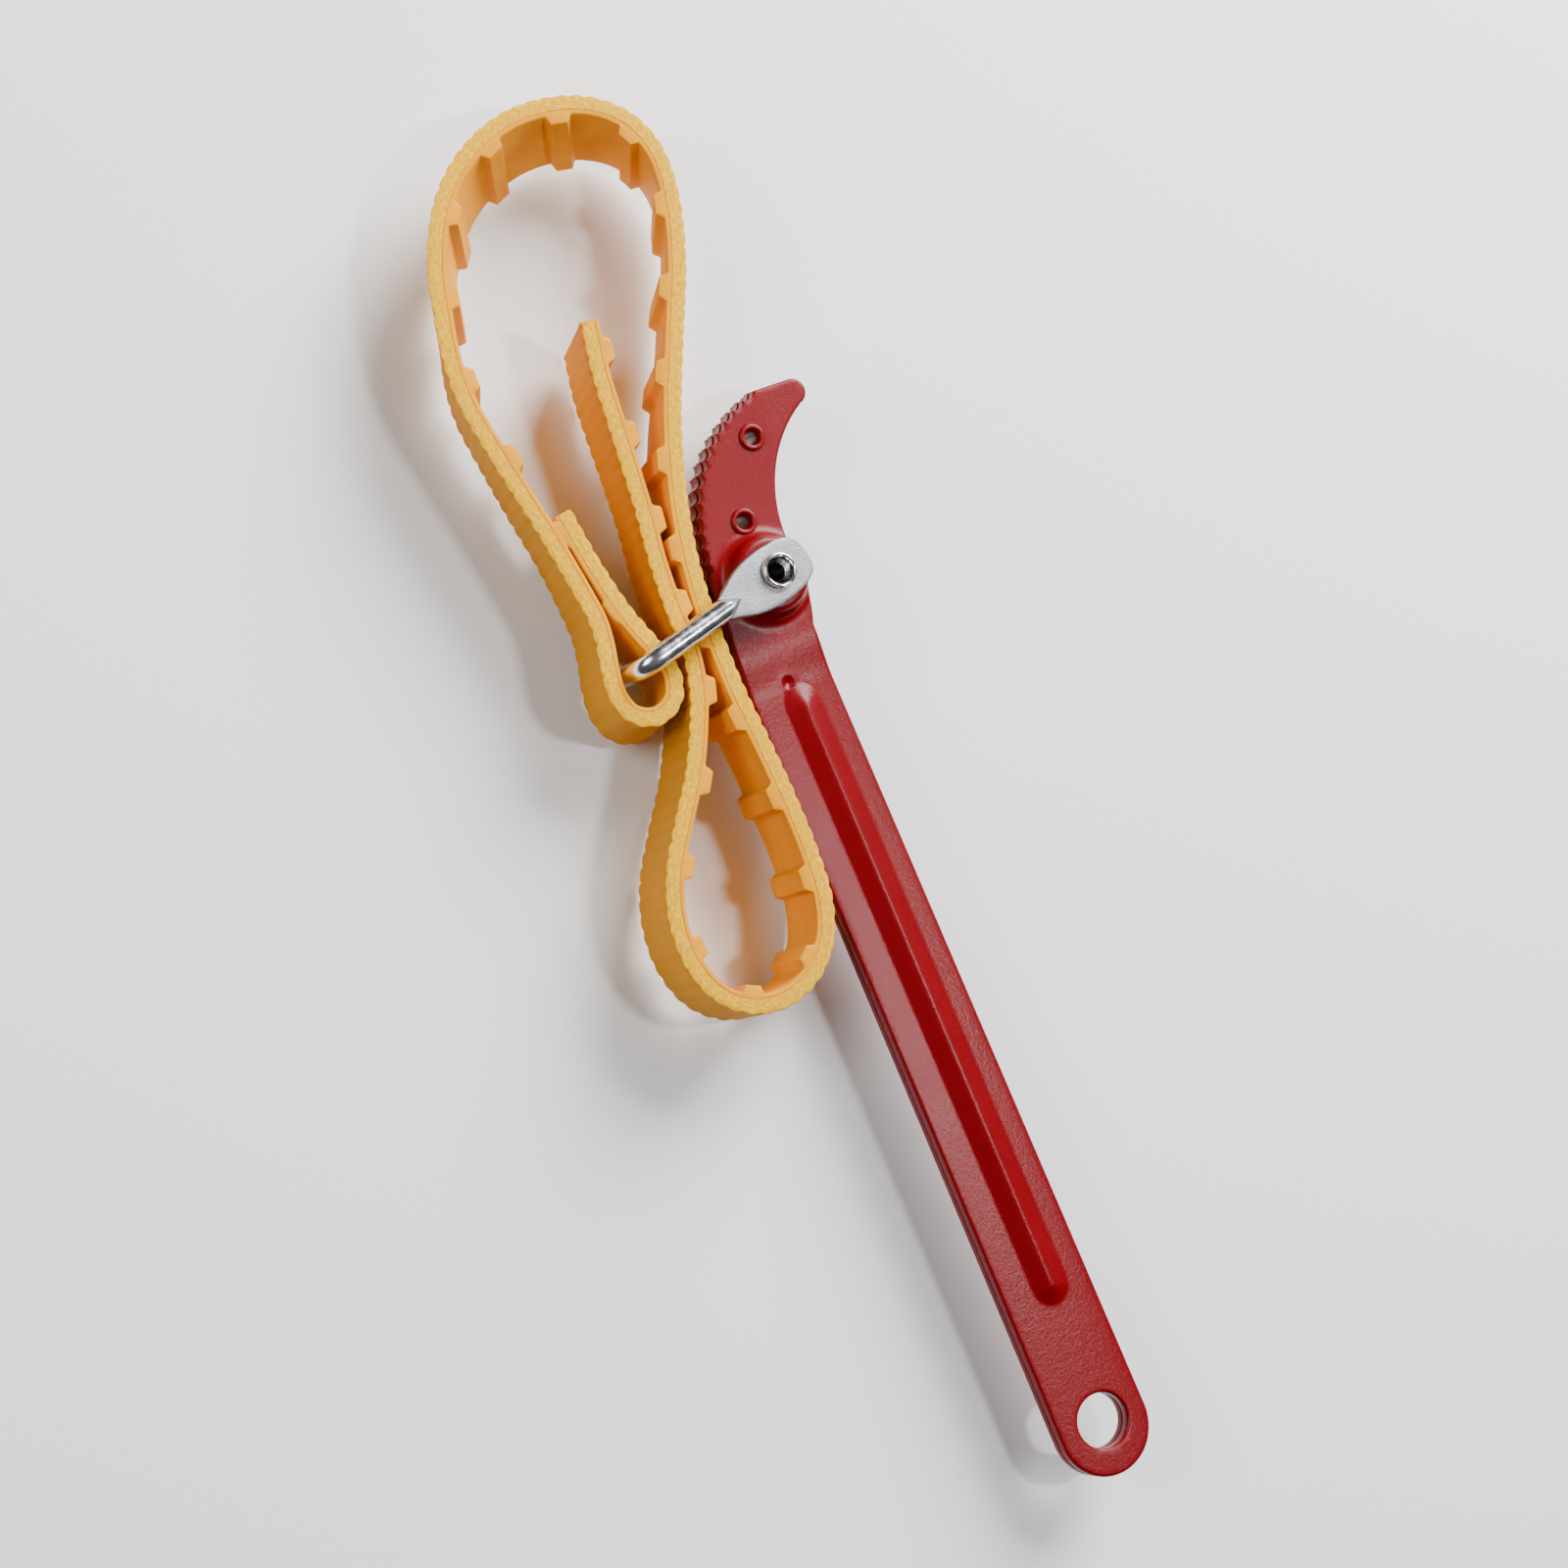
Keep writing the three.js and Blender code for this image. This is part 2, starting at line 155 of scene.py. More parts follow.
def area_light(name, place, target, size, power):
    """A white rectangular light, placed in metres and aimed at a point."""
    data = bpy.data.lights.new(name, "AREA")
    data.shape = "RECTANGLE"
    data.size, data.size_y = size
    data.energy = power
    light = bpy.data.objects.new(name, data)
    light.location = place
    aim = Vector(target) - Vector(place)
    light.rotation_euler = aim.to_track_quat("-Z", "Y").to_euler()
    bpy.context.scene.collection.objects.link(light)


def set_ramp(band, stops):
    """Gives a new colour ramp its stops, each (position, colour), from low to high."""
    for _ in range(len(stops) - 2):
        band.elements.new(0.5)
    for element, (position, color) in zip(band.elements, stops):
        element.position = position
        element.color = (*color, 1.0)


def make_lights():
    """A large key, a small light for the handle's sheen, a weaker fill and a dim studio world."""
    world = bpy.data.worlds.new("studio")
    world.use_nodes = True
    tree = world.node_tree
    shade = tree.nodes["Background"]
    direction = tree.nodes.new("ShaderNodeTexCoord")
    parts = tree.nodes.new("ShaderNodeSeparateXYZ")
    sky = tree.nodes.new("ShaderNodeValToRGB")
    below, level, above = (0.02, 0.02, 0.022), (0.08, 0.08, 0.085), (0.12, 0.12, 0.125)
    set_ramp(sky.color_ramp, [(0.05, below), (0.55, level), (0.95, above)])
    tree.links.new(direction.outputs["Generated"], parts.inputs["Vector"])
    tree.links.new(parts.outputs["Z"], sky.inputs["Fac"])
    tree.links.new(sky.outputs["Color"], shade.inputs["Color"])
    shade.inputs["Strength"].default_value = 1.0
    bpy.context.scene.world = world
    area_light("key", (0.95, 0.75, 0.85), (0, 0, 0), (0.9, 0.9), 64.0)
    area_light("sheen", (0.42, -0.17, 1.2), (0, -0.05, 0), (0.08, 0.14), 6.5)
    area_light("fill", (-1.0, 0.6, 0.9), (0, 0, 0), (0.8, 0.5), 11.0)


def make_floor():
    """A plain pale plane under the tool."""
    mesh = bpy.data.meshes.new("floor")
    half = 3.0
    corners = [(-half, -half, 0), (half, -half, 0), (half, half, 0), (-half, half, 0)]
    mesh.from_pydata(corners, [], [(0, 1, 2, 3)])
    floor = bpy.data.objects.new("floor", mesh)
    bpy.context.scene.collection.objects.link(floor)
    paper = new_material("floor_paper", (0.90, 0.90, 0.90), roughness=0.9)
    mesh.materials.append(paper)


# Materials --------------------------------------------------------------------------------------

def new_material(name, color, roughness, metallic=0.0):
    material = bpy.data.materials.new(name)
    material.use_nodes = True
    shader = material.node_tree.nodes["Principled BSDF"]
    shader.inputs["Base Color"].default_value = (*color, 1.0)
    shader.inputs["Roughness"].default_value = roughness
    shader.inputs["Metallic"].default_value = metallic
    return material


class Nodes:
    """Short ways to add shader nodes to one material."""

    def __init__(self, material):
        self.tree = material.node_tree
        self.shader = self.tree.nodes["Principled BSDF"]

    def add(self, kind, **inputs):
        node = self.tree.nodes.new(kind)
        for name, value in inputs.items():
            node.inputs[name.replace("_", " ")].default_value = value
        return node

    def link(self, source, target):
        self.tree.links.new(source, target)

    def object_space(self, stretch=(1.0, 1.0, 1.0)):
        place = self.add("ShaderNodeTexCoord")
        mapping = self.add("ShaderNodeMapping", Scale=stretch)
        self.link(place.outputs["Object"], mapping.inputs["Vector"])
        return mapping.outputs["Vector"]

    def belt_space(self, stretch):
        place = self.tree.nodes.new("ShaderNodeUVMap")
        place.uv_map = "belt"
        mapping = self.add("ShaderNodeMapping", Scale=stretch)
        self.link(place.outputs["UV"], mapping.inputs["Vector"])
        return mapping.outputs["Vector"]

    def noise(self, vector, scale, detail=3.0, roughness=0.55):
        node = self.add("ShaderNodeTexNoise", Scale=scale, Detail=detail, Roughness=roughness)
        self.link(vector, node.inputs["Vector"])
        return node.outputs["Fac"]

    def ramp(self, value, stops):
        node = self.tree.nodes.new("ShaderNodeValToRGB")
        set_ramp(node.color_ramp, stops)
        self.link(value, node.inputs["Fac"])
        return node.outputs["Color"]

    def span(self, value, low, high, start=0.0, end=1.0):
        node = self.tree.nodes.new("ShaderNodeMapRange")
        node.inputs["From Min"].default_value = start
        node.inputs["From Max"].default_value = end
        node.inputs["To Min"].default_value = low
        node.inputs["To Max"].default_value = high
        self.link(value, node.inputs["Value"])
        return node.outputs["Result"]

    def bump(self, height, strength, distance, under=None):
        node = self.add("ShaderNodeBump", Strength=strength, Distance=distance)
        self.link(height, node.inputs["Height"])
        if under:
            self.link(under, node.inputs["Normal"])
        return node.outputs["Normal"]

    def finish(self, color=None, roughness=None, normal=None):
        for name, value in (("Base Color", color), ("Roughness", roughness), ("Normal", normal)):
            if value:
                self.link(value, self.shader.inputs[name])


def powder_coat():
    """Satin red coat with fine grain, slight orange peel and a soft mottle."""
    material = new_material("red_powder_coat", (0.15, 0.0004, 0.0025), roughness=0.28)
    n = Nodes(material)
    space = n.object_space()
    mottle = n.noise(space, 60.0, detail=4.0)
    grain = n.noise(space, 1150.0, detail=3.0, roughness=0.7)
    peel = n.noise(space, 520.0, detail=2.0)
    color = n.ramp(mottle, [(0.2, (0.155, 0.0003, 0.003)), (0.8, (0.170, 0.0004, 0.004))])
    rough = n.span(mottle, 0.28, 0.32, 0.2, 0.8)
    low = n.bump(peel, 0.4, 0.0001)
    n.finish(color, rough, n.bump(grain, 0.7, 0.0001, low))
    n.shader.inputs["Specular IOR Level"].default_value = 0.22
    return material


def chrome():
    """Polished plating, uneven in its gloss and faintly rippled."""
    roughness = 0.2
    material = new_material("bright_chrome", (0.80, 0.80, 0.83), roughness, metallic=1.0)
    n = Nodes(material)
    space = n.object_space()
    cloud = n.noise(space, 420.0, detail=4.0)
    rough = n.span(cloud, roughness * 0.7, roughness * 1.6, 0.35, 0.75)
    n.finish(None, rough, n.bump(n.noise(space, 700.0), 0.05, 0.00002))
    return material


def pressed_steel():
    """Matte grey plated steel with the fine grain of a pressed face."""
    material = new_material("pressed_steel", (0.29, 0.29, 0.305), roughness=0.46, metallic=0.9)
    n = Nodes(material)
    space = n.object_space()
    grain = n.noise(space, 1600.0, detail=3.0, roughness=0.7)
    cloud = n.noise(space, 160.0, detail=3.0)
    color = n.ramp(cloud, [(0.3, (0.25, 0.25, 0.265)), (0.7, (0.33, 0.33, 0.345))])
    rough = n.span(grain, 0.42, 0.58, 0.3, 0.7)
    n.finish(color, rough, n.bump(grain, 0.9, 0.00022))
    return material


def turned_steel():
    """Turned steel with rings, for the sleeve inside the bosses and the rivets' bores."""
    material = new_material("turned_steel", (0.24, 0.235, 0.23), roughness=0.42, metallic=1.0)
    n = Nodes(material)
    rings = n.noise(n.object_space((1.0, 1.0, 40.0)), 90.0, detail=4.0)
    n.finish(None, n.span(rings, 0.3, 0.5), n.bump(rings, 0.3, 0.00005))
    return material


def belt_rubber():
    """Smooth moulded yellow, for the lugs and the inner face."""
    material = new_material("belt_moulded", (0.72, 0.26, 0.0), roughness=0.46)
    n = Nodes(material)
    space = n.object_space()
    cloud = n.noise(space, 90.0, detail=4.0)
    pores = n.noise(space, 1800.0, detail=2.0)
    color = n.ramp(cloud, [(0.3, (0.68, 0.26, 0.0)), (0.7, (0.78, 0.32, 0.0))])
    n.finish(color, n.span(cloud, 0.4, 0.52), n.bump(pores, 0.25, 0.00004))
    soften(n.shader)
    return material


def belt_edge():
    """The cut edge: pale cord fibres lying along the belt in yellow rubber."""
    material = new_material("belt_cut_edge", (0.74, 0.40, 0.004), roughness=0.62)
    n = Nodes(material)
    fibres = n.noise(n.belt_space((650.0, 1700.0, 1.0)), 1.0, detail=3.0, roughness=0.6)
    flecks = n.noise(n.belt_space((700.0, 900.0, 1.0)), 1.0, detail=2.0)
    stops = [(0.34, (0.60, 0.27, 0.0)), (0.50, (0.70, 0.35, 0.0)), (0.66, (0.86, 0.50, 0.02))]
    color = n.ramp(fibres, stops)
    low = n.bump(fibres, 0.7, 0.00016)
    n.finish(color, n.span(flecks, 0.52, 0.74), n.bump(flecks, 0.5, 0.00012, low))
    soften(n.shader)
    return material


def belt_back():
    """The back face: a fine diagonal twill pressed into the rubber."""
    material = new_material("belt_twill_back", (0.62, 0.24, 0.0), roughness=0.55)
    n = Nodes(material)
    wave = n.tree.nodes.new("ShaderNodeTexWave")
    wave.wave_type = "BANDS"
    wave.bands_direction = "DIAGONAL"
    wave.inputs["Scale"].default_value = 1.0
    wave.inputs["Distortion"].default_value = 0.6
    wave.inputs["Detail"].default_value = 1.0
    n.link(n.belt_space((700.0, 700.0, 0.0)), wave.inputs["Vector"])
    flecks = n.noise(n.belt_space((900.0, 900.0, 1.0)), 1.0, detail=2.0)
    color = n.ramp(wave.outputs["Fac"], [(0.0, (0.50, 0.17, 0.0)), (1.0, (0.66, 0.27, 0.0))])
    low = n.bump(wave.outputs["Fac"], 0.5, 0.00012)
    n.finish(color, n.span(flecks, 0.48, 0.64), n.bump(flecks, 0.4, 0.00008, low))
    soften(n.shader)
    return material


def soften(shader):
    """Keeps the gloss of the belt low."""
    shader.inputs["Specular IOR Level"].default_value = 0.08


# Mesh helpers -----------------------------------------------------------------------------------

def link_piece(name, points, faces, materials, body, node, looks=None, sharp=38.0, uv=None):
    """Makes a mesh object of points in tool millimetres, hangs it under its body and hides the CAD
    node it stands for.

    looks gives each face's material by number, and uv each face's corners.
    """
    mesh = bpy.data.meshes.new(name)
    placed = np.asarray(points) * MM + np.array(ORIGIN)
    mesh.from_pydata(placed.tolist(), [], [tuple(int(i) for i in face) for face in faces])
    for material in materials:
        mesh.materials.append(material)
    if looks is not None:
        mesh.polygons.foreach_set("material_index", np.asarray(looks, np.int32))
    if uv is not None:
        layer = mesh.uv_layers.new(name="belt")
        layer.data.foreach_set("uv", np.concatenate(uv).astype(np.float32).ravel())
    mesh.polygons.foreach_set("use_smooth", np.ones(len(mesh.polygons), bool))
    mesh.set_sharp_from_angle(angle=math.radians(sharp))
    mesh.update()
    piece = bpy.data.objects.new(name, mesh)
    bpy.context.scene.collection.objects.link(piece)
    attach(piece, body)
    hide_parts(node)
    return piece


def arc(centre, radius, start, end, step=0.8):
    """Points along an arc from one angle to another, in degrees."""
    count = max(3, int(abs(math.radians(end - start)) * radius / step) + 1)
    angles = np.radians(np.linspace(start, end, count))
    return np.c_[centre[0] + radius * np.cos(angles), centre[1] + radius * np.sin(angles)]


def straight(a, b):
    step = 0.9
    count = max(2, int(math.dist(a, b) / step) + 1)
    return np.linspace(a, b, count)


def smooth(low, high, value):
    """Eases from 0 to 1 as the value goes from low to high."""
    t = np.clip((value - low) / (high - low), 0, 1)
    return t * t * (3 - 2 * t)


def wall(first, second, count):
    """Quads between two rings of points that start at the given indices."""
    here = np.arange(count)
    after = (here + 1) % count
    return np.c_[first + here, first + after, second + after, second + here]


def turned(profile, segments):
    """Points and faces of a closed profile of [radius, z] turned round the Z axis."""
    angles = np.linspace(0, 2 * math.pi, segments, endpoint=False)
    points = [
        (radius * math.cos(a), radius * math.sin(a), z) for radius, z in profile for a in angles
    ]
    faces = []
    for i in range(len(profile)):
        j = (i + 1) % len(profile)
        faces.append(wall(i * segments, j * segments, segments))
    return np.array(points), np.concatenate(faces)


# Stamped sheets ---------------------------------------------------------------------------------

class Outline:
    """A closed outline that can be drawn inset. Its tooth hollows fade as the inset grows.

    Each part is its points and how deep a hollow is at each of them.
    """

    def __init__(self, parts):
        base = np.concatenate([points for points, _ in parts])
        hollow = np.concatenate([depth for _, depth in parts])
        keep = np.hypot(*(base - np.roll(base, 1, 0)).T) > 0.05
        self.base, self.hollow = base[keep], hollow[keep]
        along = np.roll(self.base, -1, 0) - np.roll(self.base, 1, 0)
        along /= np.hypot(*along.T)[:, None]
        self.inward = np.c_[-along[:, 1], along[:, 0]]

    def inset(self, distance):
        depth = distance + self.hollow * max(0.3, 1 - 0.7 * distance)
        return self.base + self.inward * depth[:, None]


def flat_run(points):
    """A part of an outline without teeth."""
    return points, np.zeros(len(points))


def teeth_run(proud):
    """The convex edge: rounded hollows with narrow crests between them."""
    per_tooth = 12
    angles = np.linspace(TEETH_FROM, TEETH_TO, TEETH_COUNT * per_tooth + 1)
    radius = HORN_BACK[2] + TEETH_HEIGHT + proud
    turn = np.radians(angles)
    points = np.c_[HORN_BACK[0] + radius * np.cos(turn), HORN_BACK[1] + radius * np.sin(turn)]
    phase = np.arange(len(angles)) / per_tooth
    return points, TEETH_HEIGHT * np.abs(np.sin(math.pi * phase)) ** 0.8


def plate_outline():
    """The plate's outline, anticlockwise from the left of the handle's round end."""
    t = np.linspace(0, 1, 16)[:, None]
    start, pull, end = np.array([(NECK_HALF_WIDTH, NECK_Y), NECK_PULL, NECK_END])
    neck = (1 - t) ** 2 * start + 2 * t * (1 - t) * pull + t**2 * end
    front = arc(HORN_FRONT, HORN_FRONT[2], *HORN_FRONT_ANGLES)
    left_neck = (-NECK_HALF_WIDTH, NECK_Y)
    teeth, hollows = teeth_run(0.0)
    return Outline([
        flat_run(arc(HANDLE_END, HANDLE_END[2], 180, 360)),
        flat_run(straight((HANDLE_END[2], HANDLE_END[1]), start)),
        flat_run(neck),
        flat_run(straight(end, front[0])),
        flat_run(front),
        flat_run(arc(HORN_TIP, HORN_TIP[2], *HORN_TIP_ANGLES, step=0.5)),
        flat_run(straight((HORN_TIP[0], HORN_TIP[1] + HORN_TIP[2]), teeth[0])),
        (teeth, hollows),
        flat_run(straight(teeth[-1], left_neck)),
        flat_run(straight(left_neck, (-HANDLE_END[2], HANDLE_END[1]))),
    ])


def jaw_outline():
    """The toothed core: the horn's outline, notched round the pivot's sleeve."""
    inset = 0.5
    left, foot, notch = -6.0, 4.6, 7.0
    teeth, hollows = teeth_run(JAW_PROUD)
    front = arc(HORN_FRONT, HORN_FRONT[2] + inset, *HORN_FRONT_ANGLES)
    collar = arc((PIVOT_X, 0), notch, 135, 45)
    return Outline([
        flat_run(straight((left, foot), (PIVOT_X - notch, foot))),
        flat_run(collar),
        flat_run(straight((PIVOT_X + notch, foot), (front[0][0], foot))),
        flat_run(front),
        flat_run(arc(HORN_TIP, HORN_TIP[2] - inset, *HORN_TIP_ANGLES, step=0.5)),
        (teeth, hollows),
    ])


def boss_height(x, y):
    """Share of the boss's height: a flat top, a rounded rim, a steep wall and a flared foot."""
    return np.interp(np.hypot(x - PIVOT_X, y), BOSS_RADII, BOSS_SHARES)


def rib_height(x, y):
    """A tent with a blunt crest and a soft foot, nearly round below and longer at its upper end."""
    middle = np.clip(y, RIB_FROM + RIB_HALF, RIB_TO - RIB_TOP_STRETCH * RIB_HALF)
    squeeze = np.where(y > middle, 1 / RIB_TOP_STRETCH, RIB_LOW_SQUEEZE)
    t = np.hypot(x - RIB_X, squeeze * (y - middle)) / RIB_HALF
    crest, foot = 0.16, 0.035
    tent = 1 - (np.sqrt(t * t + crest * crest) - crest) / (math.hypot(1, crest) - crest)
    return RIB_HEIGHT * (np.sqrt(tent * tent + foot * foot) + tent) / 2


def outer_height(x, y):
    """Height of a plate's outer face over the middle of the tool."""
    face = HANDLE_TOP + (HORN_TOP - HANDLE_TOP) * smooth(*JOGGLE, y)
    face = face + (BOSS_TOP - HORN_TOP) * boss_height(x, y)
    handle = 1 - smooth(*CROWN_FADE, y)
    face = face - CROWN * handle * np.clip(np.abs(x) / CROWN_HALF_WIDTH, 0, 1) ** 3
    away = np.hypot(x - DIMPLE[0], y - DIMPLE[1])
    dimple_rim = 0.12 * np.exp(-(((away - 2.1) / 0.6) ** 2))
    dimple_pit = 0.75 * np.exp(-((away / 1.1) ** 2))
    return face + rib_height(x, y) + (dimple_rim - dimple_pit)


def inner_height(x, y):
    """Height of a plate's inner face: the joggle and the boss, without the rib."""
    face = HANDLE_TOP + (HORN_TOP - HANDLE_TOP) * smooth(*JOGGLE, y) - SHEET
    return face + (BOSS_TOP - HORN_TOP) * boss_height(x, y)


def inside(polygon, points):
    """Which points lie inside a closed polygon."""
    a, b = polygon, np.roll(polygon, -1, 0)
    x, y = points[:, :1], points[:, 1:]
    crosses = (a[:, 1] > y) != (b[:, 1] > y)
    rise = b[:, 1] - a[:, 1]
    rise[rise == 0] = 1e-9
    meets = a[:, 0] + (y - a[:, 1]) / rise * (b[:, 0] - a[:, 0])
    return (crosses & (x < meets)).sum(1) % 2 == 1


def distance(points, centre):
    """How far each point is from a centre."""
    return np.hypot(points[:, 0] - centre[0], points[:, 1] - centre[1])


def grid_points(low_y, step):
    """A square grid over the tool's width, from a given y to past the horn's tip."""
    across, along = np.arange(-14, 37, step), np.arange(low_y, 48, step)
    return np.stack(np.meshgrid(across, along), -1).reshape(-1, 2)


def arc_points(centre, radius, angles):
    """Points on a circle at angles in radians."""
    return [(centre[0] + radius * math.cos(a), centre[1] + radius * math.sin(a)) for a in angles]


def plate_points():
    """Points inside a plate's face: a grid, rows over the rib, rings at the boss and the dimple."""
    boss_clear, rib_clear, dimple_clear = 0.6, 1.4, 3.8
    grid = grid_points(-252, 1.3)
    low, high = RIB_FROM + RIB_HALF, RIB_TO - RIB_HALF
    middle = np.clip(grid[:, 1], low, high)
    off_rib = distance(grid, (RIB_X, middle)) > RIB_HALF + rib_clear
    off_boss = distance(grid, PIVOT_HOLE) > BOSS_RADII[-1] + boss_clear
    grid = grid[off_rib & off_boss]
    grid = grid[distance(grid, DIMPLE) > dimple_clear]

    from_crest = [0.0, 0.35, 0.75, 1.3, 2.0, 2.9, 3.8, 4.6, 5.0, 5.35, 6.0]
    ribs = [
        (RIB_X + side * away, y)
        for side in (-1, 1)
        for away in from_crest
        for y in np.arange(low, high + 0.1, 1.7)
        if side > 0 or away
    ]
    for end, first in ((low, math.pi), (high, 0.0)):
        for away in from_crest[1:]:
            angles = first + np.linspace(0.08, math.pi - 0.08, 22)
            ribs += arc_points((RIB_X, end), away, angles)
    ribs = np.array(ribs)
    ribs = ribs[distance(ribs, DIMPLE) > dimple_clear - 0.3]

    rings = []
    for radius in BOSS_RADII:
        rings += arc_points(PIVOT_HOLE, radius, np.linspace(0, 2 * math.pi, 96, endpoint=False))
    rings.append((DIMPLE[0] + 0.01, DIMPLE[1]))
    for radius in (0.5, 1.0, 1.5, 1.9, 2.3, 2.7, 3.2):
        rings += arc_points(DIMPLE, radius, np.linspace(0, 2 * math.pi, 20, endpoint=False))
    return np.concatenate([grid, ribs, np.array(rings)])


def fill(loops, holes, extra):
    """The face bounded by an outer loop and round holes, with extra points inside it.

    Returns the extra points that are used, and triangles that number the loops' points first.
    """
    edge_clear = 0.4
    edge = np.concatenate(loops)
    nearest = np.full(len(extra), np.inf)
    for some in np.array_split(edge, 8):
        gap = np.hypot(extra[:, :1] - some[:, 0], extra[:, 1:] - some[:, 1]).min(1)
        nearest = np.minimum(nearest, gap)
    keep = inside(loops[0], extra) & (nearest > edge_clear)
    for x, y, radius in holes:
        keep &= distance(extra, (x, y)) > radius
    points = np.concatenate([edge, extra[keep]])
    edges, start = [], 0
    for loop in loops:
        count = len(loop)
        edges += [(start + i, start + (i + 1) % count) for i in range(count)]
        start += count
    found = delaunay_2d_cdt([Vector(p) for p in points], edges, [], 0, 1e-5, True)
    numbers = [origins[0] for origins in found[3]]
    triangles = np.array([[numbers[i] for i in face] for face in found[2]])
    corners = points[triangles]
    a, b = corners[:, 1] - corners[:, 0], corners[:, 2] - corners[:, 0]
    clockwise = a[:, 0] * b[:, 1] - a[:, 1] * b[:, 0] < 0
    triangles[clockwise] = triangles[clockwise][:, ::-1]
    outer_edges, hole_edges = edges[: len(loops[0])], edges[len(loops[0]):]
    seeds = outer_edges + [(second, first) for first, second in hole_edges]
    return points[len(edge):], spread(triangles.tolist(), seeds)


def spread(triangles, seeds):
    """The triangles that can be reached from the left of the seed edges without crossing one."""
    owner = {}
    for number, (a, b, c) in enumerate(triangles):
        owner[a, b] = owner[b, c] = owner[c, a] = number
    walls = set(seeds) | {(b, a) for a, b in seeds}
    reached = {owner[seed] for seed in seeds if seed in owner}
    waiting = sorted(reached)
    while waiting:
        a, b, c = triangles[waiting.pop()]
        for side in ((a, b), (b, c), (c, a)):
            beyond = None if side in walls else owner.get(side[::-1])
            if beyond is not None and beyond not in reached:
                reached.add(beyond)
                waiting.append(beyond)
    return np.array([triangles[number] for number in sorted(reached)])


def sheet_mesh(outline, holes, outer, inner, extra, round_out, round_in):
    """A sheet with rounded edges: rings down each edge, and a filled face on both sides.

    outer and inner give the faces' heights, extra the points inside them, and round_out and
    round_in the radii of the edges. A level is (inset, drop from its face, whether it is outer).
    """
    bend = np.radians(np.linspace(0, 90, 6))
    levels = [(round_out * (1 - math.sin(a)), round_out * (1 - math.cos(a)), True) for a in bend]
    levels += [
        (round_in * (1 - math.cos(a)), round_in * (1 - math.sin(a)), False) for a in bend[::2]
    ]

    def at_level(loop, drop, top):
        x, y = loop.T
        return np.c_[x, y, outer(x, y) - drop if top else inner(x, y) + drop]

    shapes = [outline.inset]
    shapes += [lambda inset, hole=hole: hole_ring(hole, inset) for hole in holes]
    points, faces, borders = [], [], {True: [], False: []}
    total = 0
    for number, shape in enumerate(shapes):
        rings = [at_level(shape(inset), drop, top) for inset, drop, top in levels]
        count = len(rings[0])
        borders[True].append((total, rings[0]))
        borders[False].append((total + (len(rings) - 1) * count, rings[-1]))
        for i in range(len(rings) - 1):
            quads = wall(total + i * count, total + (i + 1) * count, count)
            faces.append(quads[:, ::-1] if number == 0 else quads)
        points += rings
        total += count * len(rings)
    for top in (True, False):
        loops = [ring[:, :2] for _, ring in borders[top]]
        inset = levels[0][0] if top else 0.0
        gaps = [(x, y, radius + inset - 0.02) for x, y, radius in holes]
        more, triangles = fill(loops, gaps, extra if top else extra[::7])
        index = np.concatenate([first + np.arange(len(ring)) for first, ring in borders[top]])
        index = np.concatenate([index, total + np.arange(len(more))])
        faces.append(index[triangles] if top else index[triangles][:, ::-1])
        x, y = more.T
        points.append(np.c_[x, y, outer(x, y) if top else inner(x, y)])
        total += len(more)
    return np.concatenate(points), [tuple(face) for group in faces for face in group]


def hole_ring(hole, inset):
    """A hole's edge, wider by the inset, with the same count of points at every width."""
    count = max(24, int(2 * math.pi * hole[2] / 0.6))
    angles = np.linspace(0, 2 * math.pi, count, endpoint=False)
    radius = hole[2] + inset
    return np.c_[hole[0] + radius * np.cos(angles), hole[1] + radius * np.sin(angles)]


def make_plates(coat):
    """The near plate and its mirror image."""
    holes = [HANG_HOLE, PIVOT_HOLE] + HORN_RIVET_HOLES
    points, faces = sheet_mesh(
        plate_outline(), holes, outer_height, inner_height, plate_points(),
        round_out=0.85, round_in=0.3,
    )
    link_piece("front_plate_coated", points, faces, [coat], "handle", "front_plate")
    back = points * np.array([1, 1, -1])
    flipped = [face[::-1] for face in faces]
    link_piece("back_plate_coated", back, flipped, [coat], "handle", "back_plate")


def make_jaw(coat):
    """The toothed core, a flat sheet between the plates."""
    def level(x, y):
        return np.full_like(x, JAW_HALF)

    def under(x, y):
        return np.full_like(x, -JAW_HALF)

    points, faces = sheet_mesh(
        jaw_outline(), HORN_RIVET_HOLES, level, under, grid_points(4, 2.0),
        round_out=0.3, round_in=0.3,
    )
    link_piece("toothed_core", points, faces, [coat], "handle", "serrated_jaw")


# Rivets -----------------------------------------------------------------------------------------

def rolled_rivet(bore, throat, shank, head, seat, height, flare):
    """The section of a tube with a rolled rim and a coned mouth at both ends, its outer side first.

    seat is where the rim rests and height how far it stands above that.
    """
    lip = 0.22 * height
    crest = (head + bore + flare) / 2
    half_width = (head - bore - flare) / 2
    bend = np.radians(np.linspace(0, 180, 15))
    rim = [
        (crest + half_width * math.cos(a), seat + lip + (height - lip) * math.sin(a)) for a in bend
    ]
    half = [(shank, 0.0), (shank, seat), (shank + 0.2, seat), (head - 0.25, seat + 0.02)]
    half += rim
    half += [(bore + 0.5 * flare, seat - 0.3), (throat, seat - 1.5)]
    half += [(bore, seat - 2.6), (bore, 0.0)]
    lower = [(radius, -z) for radius, z in half[1:-1]][::-1]
    return half + lower


def face_reach(points, faces):
    """How far each face reaches from the Z axis, and from the middle of the tool."""
    radius = np.hypot(points[:, 0], points[:, 1])[faces].max(1)
    return radius, np.abs(points[:, 2])[faces].max(1)


